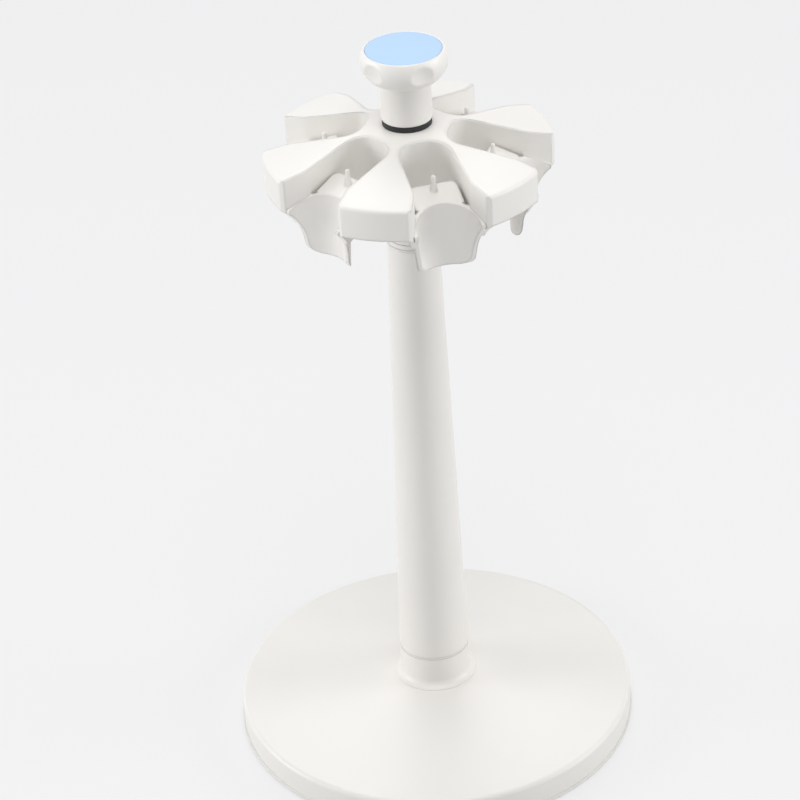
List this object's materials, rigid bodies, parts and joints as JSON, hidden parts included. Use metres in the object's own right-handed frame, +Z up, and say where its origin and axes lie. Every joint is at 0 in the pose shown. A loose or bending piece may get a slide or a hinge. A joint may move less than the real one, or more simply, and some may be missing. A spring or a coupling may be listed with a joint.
{
  "type": "pipette carousel stand",
  "caption": "Free-standing carousel stand: weighted round base, tapered column, turning rotor with open pockets that hang pipettes, and a screwed knob.",
  "frame": {"origin": "centre of the footprint, on the table under the feet", "axes": "+Z up along the column and the rotor's axis; -Y towards the middle of one pocket"},
  "size_m": [0.183, 0.183, 0.3399],
  "materials": {
    "white_plastic": "satin moulded ABS",
    "ring_plastic": "matte",
    "grey_plastic": "matte",
    "iron": "cast, painted",
    "rubber": "matte",
    "steel": "brushed",
    "brass": "turned",
    "bush_plastic": "matte acetal",
    "blue_plastic": "satin"
  },
  "bodies": {
    "stand": {"base_cover": "white_plastic", "base_weight": "iron", "base_plate": "grey_plastic", "foot_1": "rubber", "foot_2": "rubber", "foot_3": "rubber", "foot_4": "rubber", "cover_screws": "steel", "seat_ring": "ring_plastic", "column": "white_plastic", "column_head": "white_plastic", "tie_rod": "steel", "clamp_nut": "steel", "spring_washer": "steel", "clamp_washer": "steel", "bearing_inner_race": "steel", "spindle_sleeve": "steel"},
    "carousel": {"rotor": "white_plastic", "top_bush": "bush_plastic", "bearing_outer_race": "steel"},
    "ball_ring": {"bearing_cage": "brass", "bearing_balls": "steel"},
    "seal": {"rubber_washer": "rubber"},
    "handle": {"knob": "white_plastic", "knob_insert": "brass", "knob_cap": "blue_plastic"}
  },
  "joints": [
    {"name": "rotor_spin", "type": "hinge", "parent": "stand", "child": "carousel", "pos_m": [0, 0, 0.29], "axis": [0, 0, 1], "continuous": true},
    {"name": "ball_roll", "type": "hinge", "parent": "stand", "child": "ball_ring", "pos_m": [0, 0, 0.2595], "axis": [0, 0, 1], "continuous": true},
    {"name": "knob_lift", "type": "slide", "parent": "stand", "child": "seal", "axis": [0, 0, 1], "range_m": [0, 0.005]},
    {"name": "knob_turn", "type": "hinge", "parent": "seal", "child": "handle", "pos_m": [0, 0, 0.32], "axis": [0, 0, 1], "range_deg": [0, 1440]}
  ],
  "couplings": [
    {"joint": "ball_roll", "follows": "rotor_spin", "ratio": 0.632},
    {"joint": "knob_lift", "follows": "knob_turn", "m_per_rad": 0.00019894}
  ]
}
